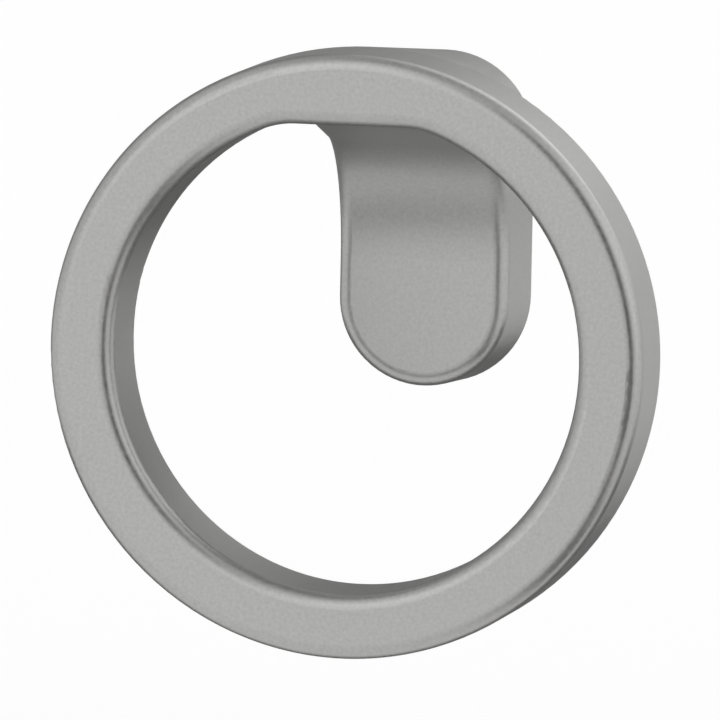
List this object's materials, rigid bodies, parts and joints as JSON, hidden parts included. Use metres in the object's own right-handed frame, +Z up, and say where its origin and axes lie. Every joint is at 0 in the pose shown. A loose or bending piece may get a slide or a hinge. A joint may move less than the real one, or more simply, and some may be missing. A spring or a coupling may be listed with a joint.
{
  "type": "cabinet knob",
  "caption": "Cast metal ring knob for a cabinet door or drawer: a flat-topped ring on a short arm and a stadium-shaped foot, fixed by a screw from behind.",
  "frame": {"origin": "mouth of the screw hole, in the middle of the foot's flat back, on the cabinet's face", "axes": "+Y into the cabinet, +Z up, the ring's face looking towards -Y"},
  "size_m": [0.045, 0.0322, 0.045],
  "materials": {
    "satin_nickel": "satin"
  },
  "bodies": {
    "root": {"ring_knob": "satin_nickel"}
  },
  "joints": []
}
